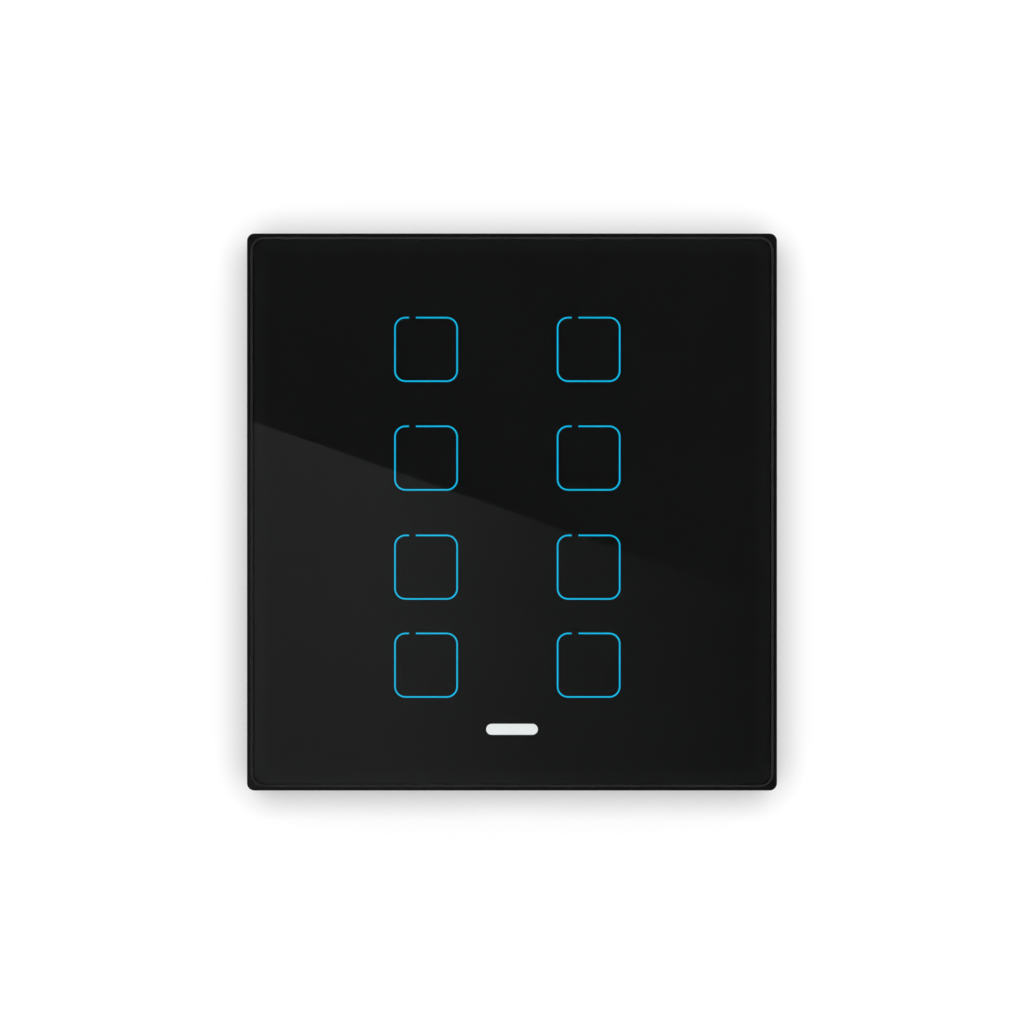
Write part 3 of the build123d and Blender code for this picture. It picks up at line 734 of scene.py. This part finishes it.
def blockOf(start, length, width, height):
    return start.add("GeometryNodeMeshCube", {}, {"Size": pointAt(start, length, width, height)}, out="Mesh")


def gridOf(start, size, spanX, spanZ):
    values = {"Size X": spanX, "Size Y": spanZ, "Vertices X": size["Columns"], "Vertices Y": size["Rows"]}
    return start.add("GeometryNodeMeshGrid", {}, values)


# A strip of rectangular section along a path
def stripAlong(start, path, width, thickness):
    section = start.add("GeometryNodeCurvePrimitiveQuadrilateral", {}, {"Width": width, "Height": thickness})
    values = {"Curve": path, "Profile Curve": section, "Fill Caps": True}
    return start.add("GeometryNodeCurveToMesh", {}, values)


# Runs a tree once and keeps what it makes as a plain mesh
def growPiece(name, tree, sizes, body):
    piece = bpy.data.objects.new(name, bpy.data.meshes.new(name))
    scene.collection.objects.link(piece)
    grower = piece.modifiers.new("grow", "NODES")
    grower.node_group = tree
    for item in tree.interface.items_tree:
        if item.in_out == "INPUT":
            grower[item.identifier] = sizes[item.name]
    grown = bpy.data.meshes.new_from_object(piece.evaluated_get(bpy.context.evaluated_depsgraph_get()))
    piece.modifiers.remove(grower)
    piece.data = grown
    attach(piece, body)
    print("grown", name, len(grown.polygons), "faces")
    return piece


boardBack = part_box("touch_board")[1].y

# Chip resistors and capacitors on the back of the touch board, clear of the larger parts
smallParts = {
    "Columns": 18,
    "Rows": 17,
    "Pitch X": 2.4 * mm,
    "Pitch Z": 2.5 * mm,
    "Part Length": 1.0 * mm,
    "Part Width": 0.55 * mm,
    "Part Height": 0.42 * mm,
    "Kept Share": 0.5,
    "Seed": 7,
    "Level": boardBack,
}
shares = {"end": 0.24, "endShift": 0.38, "body": 0.56, "bodySlim": 0.94}  # of a part's length or section
keepOut = [("radio_module", 1.2 * mm), ("controller_chip", 2.0 * mm), ("touch_socket", 2.2 * mm)]


def smallPartsTree(name, material, ends):
    tree, start, size = newTree(name, smallParts)
    spanX, spanZ = (size["Columns"] - 1) * size["Pitch X"], (size["Rows"] - 1) * size["Pitch Z"]
    grid = gridOf(start, size, spanX, spanZ)
    x, y, z = axesOf(start.add("GeometryNodeInputPosition"))
    values = {2: 0.0, 3: 1.0, "Seed": size["Seed"]}
    keep = start.add("FunctionNodeRandomValue", {"data_type": "FLOAT"}, values, out=1) < size["Kept Share"]
    for node, room in keepOut:
        low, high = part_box(node)
        inX = (x > low.x - room) * (x < high.x + room)
        inZ = (y > -high.z - room) * (y < -low.z + room)  # the grid's Y becomes -Z on the board
        keep = keep * (1.0 - inX * inZ)
    values = {4: 0, 5: 1, "Seed": size["Seed"] + 1}
    turn = start.add("FunctionNodeRandomValue", {"data_type": "INT"}, values, out=2) * (math.pi / 2)
    length, width, height = size["Part Length"], size["Part Width"], size["Part Height"]
    if ends:
        cap = blockOf(start, length * shares["end"], width, height)
        shifts = [length * shares["endShift"], length * -shares["endShift"]]
        blocks = [raised(start, cap, height / 2, shift) for shift in shifts]
        shape = start.add("GeometryNodeJoinGeometry", {}, {0: blocks})
    else:
        slim = shares["bodySlim"]
        middle = blockOf(start, length * shares["body"], width * slim, height * slim)
        shape = raised(start, middle, height * (slim / 2))
    turned = pointAt(start, 0.0, 0.0, turn)
    values = {"Points": grid, "Selection": keep, "Instance": shape, "Rotation": turned}
    spread = start.add("GeometryNodeInstanceOnPoints", {}, values)
    closeTree(start, onBoard(start, spread, 0.0, size["Level"], 0.0), material)
    return tree


bodiesTree = smallPartsTree("chipBodies", finishes["chip_black"], False)
growPiece("chipBodies", bodiesTree, smallParts, "front_panel")
endsTree = smallPartsTree("chipEnds", finishes["shield_metal"], True)
growPiece("chipEnds", endsTree, smallParts, "front_panel")

# Bent legs round a chip or along a socket: one S-shaped leg, set out in rows on two or four sides
chipLow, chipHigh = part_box("controller_chip")
socketLow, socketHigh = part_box("touch_socket")
chipLegs = {
    "Legs": 12,
    "Pitch": 0.5 * mm,
    "Half Body": (chipHigh.x - chipLow.x) / 2 - 0.06 * mm,
    "Reach": 0.95 * mm,
    "Rise": 0.42 * mm,
    "Leg Width": 0.22 * mm,
    "Leg Thickness": 0.12 * mm,
    "Sides": 4,
    "Turn": 0.0,
    "X": (chipLow.x + chipHigh.x) / 2,
    "Level": boardBack,
    "Z": (chipLow.z + chipHigh.z) / 2,
}
socketLegs = {
    "Legs": 6,
    "Pitch": 2.54 * mm,
    "Half Body": (socketHigh.z - socketLow.z) / 2 - 0.06 * mm,
    "Reach": 1.3 * mm,
    "Rise": 0.5 * mm,
    "Leg Width": 0.6 * mm,
    "Leg Thickness": 0.2 * mm,
    "Sides": 2,
    "Turn": math.pi / 2,
    "X": (socketLow.x + socketHigh.x) / 2,
    "Level": boardBack,
    "Z": (socketLow.z + socketHigh.z) / 2,
}


def legsTree():
    tree, start, size = newTree("bentLegs", chipLegs)
    foot = size["Leg Thickness"] / 2
    values = {
        "Resolution": 8,
        "Start": pointAt(start, 0.0, 0.0, size["Rise"]),
        "Start Handle": pointAt(start, size["Reach"] * 0.6, 0.0, size["Rise"]),
        "End Handle": pointAt(start, size["Reach"] * 0.25, 0.0, foot),
        "End": pointAt(start, size["Reach"], 0.0, foot),
    }
    path = start.add("GeometryNodeCurvePrimitiveBezierSegment", {}, values)
    leg = stripAlong(start, path, size["Leg Width"], size["Leg Thickness"])
    first = pointAt(start, size["Half Body"], size["Pitch"] * (size["Legs"] - 1) * -0.5)
    values = {"Count": size["Legs"], "Start Location": first, "Offset": pointAt(start, 0.0, size["Pitch"])}
    row = start.add("GeometryNodeMeshLine", {}, values)
    legs = start.add("GeometryNodeInstanceOnPoints", {}, {"Points": row, "Instance": leg})
    middle = start.add("GeometryNodeMeshLine", {}, {"Count": size["Sides"], "Offset": (0, 0, 0)})
    angle = size["Turn"] + start.add("GeometryNodeInputIndex") * (2 * math.pi) / size["Sides"]
    values = {"Points": middle, "Instance": legs, "Rotation": pointAt(start, 0.0, 0.0, angle)}
    sides = start.add("GeometryNodeInstanceOnPoints", {}, values)
    closeTree(start, onBoard(start, sides, size["X"], size["Level"], size["Z"]), finishes["shield_metal"])
    return tree


bentLegs = legsTree()
growPiece("chipLegs", bentLegs, chipLegs, "front_panel")
growPiece("socketLegs", bentLegs, socketLegs, "front_panel")

# Aerial: a folded track on the free end of the radio's board
radioLow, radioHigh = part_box("radio_module")
aerial = {
    "Corners": 20,
    "Step": 1.2 * mm,
    "Fold": 3.0 * mm,
    "Track Width": 0.5 * mm,
    "Track Thickness": 0.06 * mm,
    "X": radioLow.x + 0.8 * mm,
    "Level": radioLow.y + 0.8 * mm,
    "Z": radioHigh.z - 1.1 * mm,
}


def aerialTree():
    tree, start, size = newTree("foldedTrack", aerial)
    line = start.add("GeometryNodeMeshLine", {}, {"Count": size["Corners"], "Offset": (0, 0, 0)})
    index = start.add("GeometryNodeInputIndex")
    along = (index / 2).floor() * size["Step"]
    across = ((index + 1) / 2).floor() % 2.0 * size["Fold"]
    values = {"Geometry": line, "Position": pointAt(start, across, along, 0.0)}
    folded = start.add("GeometryNodeSetPosition", {}, values)
    path = start.add("GeometryNodeMeshToCurve", {}, {"Mesh": folded})
    track = stripAlong(start, path, size["Track Width"], size["Track Thickness"])
    closeTree(start, onBoard(start, track, size["X"], size["Level"], size["Z"]), finishes["contact_brass"])
    return tree


growPiece("aerialTrack", aerialTree(), aerial, "front_panel")

# Ejector marks in the tray of the base: low discs with a sloped edge
ejectors = {
    "Columns": 2,
    "Rows": 4,
    "Spread X": 71 * mm,
    "Spread Z": 72 * mm,
    "Radius": 1.6 * mm,
    "Slope": 0.15 * mm,
    "Relief": 0.1 * mm,
    "Level": -1.8 * mm,
}


def ejectorTree():
    tree, start, size = newTree("ejectorMarks", ejectors)
    grid = gridOf(start, size, size["Spread X"], size["Spread Z"])
    values = {
        "Vertices": 32,
        "Radius Top": size["Radius"],
        "Radius Bottom": size["Radius"] - size["Slope"],
        "Depth": size["Relief"] * 2,
    }
    disc = start.add("GeometryNodeMeshCone", {}, values, out="Mesh")
    sunk = raised(start, disc, size["Relief"] * -1)
    spread = start.add("GeometryNodeInstanceOnPoints", {}, {"Points": grid, "Instance": sunk})
    closeTree(start, onBoard(start, spread, 0.0, size["Level"], 0.0), finishes["housing_plastic"])
    return tree


growPiece("ejectorMarks", ejectorTree(), ejectors, "base")


# Keeps a finished bmesh as a piece on a body
def keepPiece(name, shape, body, slot):
    bmesh.ops.remove_doubles(shape, verts=shape.verts, dist=1e-7)
    bmesh.ops.recalc_face_normals(shape, faces=shape.faces)
    mesh = bpy.data.meshes.new(name)
    shape.to_mesh(mesh)
    shape.free()
    mesh.materials.append(finishes[slot])
    piece = bpy.data.objects.new(name, mesh)
    scene.collection.objects.link(piece)
    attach(piece, body)
    print("made", name, len(mesh.polygons), "faces")
    return piece


# Raised marks behind the wire entries: live, neutral and the four outputs
marks = {
    "letters": "LN1234",
    "height": 4.2 * mm,
    "relief": 0.35 * mm,
    "boldness": 0.1 * mm,
    "behindEntry": 6.0 * mm,
    "curveSteps": 5,
}


def glyphMesh(letter):
    words = bpy.data.curves.new("mark" + letter, "FONT")
    words.body = letter
    words.size = marks["height"]
    words.extrude = marks["relief"]
    words.offset = marks["boldness"]
    words.resolution_u = marks["curveSteps"]
    words.align_x = "CENTER"
    words.align_y = "CENTER"
    holder = bpy.data.objects.new(words.name, words)
    scene.collection.objects.link(holder)
    mesh = bpy.data.meshes.new_from_object(holder.evaluated_get(bpy.context.evaluated_depsgraph_get()))
    bpy.data.objects.remove(holder)
    return mesh


def terminalMarks():
    mounts = {mount["name"]: mount for mount in frame["record"]["mounts"]}
    shape = bmesh.new()
    for number, letter in enumerate(marks["letters"], start=1):
        low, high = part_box("terminal_screw_" + str(number))
        x = (low.x + high.x) / 2
        top = low.z > 0
        place = mounts["upper_wire_entries" if top else "lower_wire_entries"]["pos_m"]
        up = -1 if top else 1  # read from behind, on the top face and the bottom face
        y = place[1] + marks["behindEntry"]
        stand = Matrix(((-1, 0, 0, x), (0, up, 0, y), (0, 0, -up, place[2]), (0, 0, 0, 1)))
        mesh = glyphMesh(letter)
        mesh.transform(stand)
        shape.from_mesh(mesh)
    return keepPiece("terminalMarks", shape, "base", "housing_plastic")


terminalMarks()

# Arrow moulded in the tray, so that the base goes on the right way up
arrow = {
    "z": 33 * mm,
    "length": 8 * mm,
    "width": 5 * mm,
    "shaft": 1.8 * mm,
    "head": 3.6 * mm,
    "relief": 0.3 * mm,
    "draft": 0.12 * mm,
    "level": -1.8 * mm,
}


def mouldedArrow():
    half, neck = arrow["length"] / 2, arrow["length"] / 2 - arrow["head"]
    barb, shaft = arrow["width"] / 2, arrow["shaft"] / 2
    outline = [(0, half), (-barb, neck), (-shaft, neck), (-shaft, -half)]
    outline += [(-x, z) for x, z in reversed(outline[1:])]
    shape = bmesh.new()
    rings = []
    for depth, shrink in ((arrow["relief"], 0.0), (0.0, 0.0), (-arrow["relief"], arrow["draft"])):
        ring = []
        for x, z in outline:
            pull = Vector((x, z))
            pull = pull * (1 - shrink / max(pull.length, arrow["draft"]))
            ring.append(shape.verts.new((pull.x, arrow["level"] + depth, arrow["z"] + pull.y)))
        rings.append(ring)
    count = len(outline)
    for lower, upper in zip(rings, rings[1:]):
        for i in range(count):
            shape.faces.new((lower[i], lower[(i + 1) % count], upper[(i + 1) % count], upper[i]))
    shape.faces.new(rings[0])
    shape.faces.new(rings[-1])
    return keepPiece("upArrow", shape, "base", "housing_plastic")


mouldedArrow()

print("pieces done")
